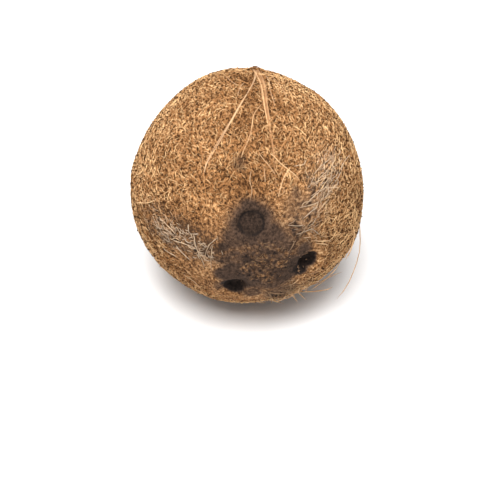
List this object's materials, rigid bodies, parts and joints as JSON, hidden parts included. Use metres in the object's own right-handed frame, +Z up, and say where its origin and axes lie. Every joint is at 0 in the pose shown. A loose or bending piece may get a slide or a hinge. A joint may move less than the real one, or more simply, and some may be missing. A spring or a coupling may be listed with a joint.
{
  "type": "husked coconut",
  "caption": "Husked coconut on its side: sunk eyes at one end, soft corners between them, coir strands over the shell, and a small flat that it rests on.",
  "frame": {"origin": "on the surface that the nut rests on, under the middle of its box", "axes": "+Z up, +Y along the nut's long axis from the eyes to the far tip, +X to the right seen from the eyes"},
  "size_m": [0.1168, 0.1207, 0.1152],
  "materials": {
    "coir": "dry matted coir, matt tan brown, bleached along the corners and dark grey round the eyes"
  },
  "bodies": {
    "root": {"coconut": "coir"}
  },
  "joints": []
}
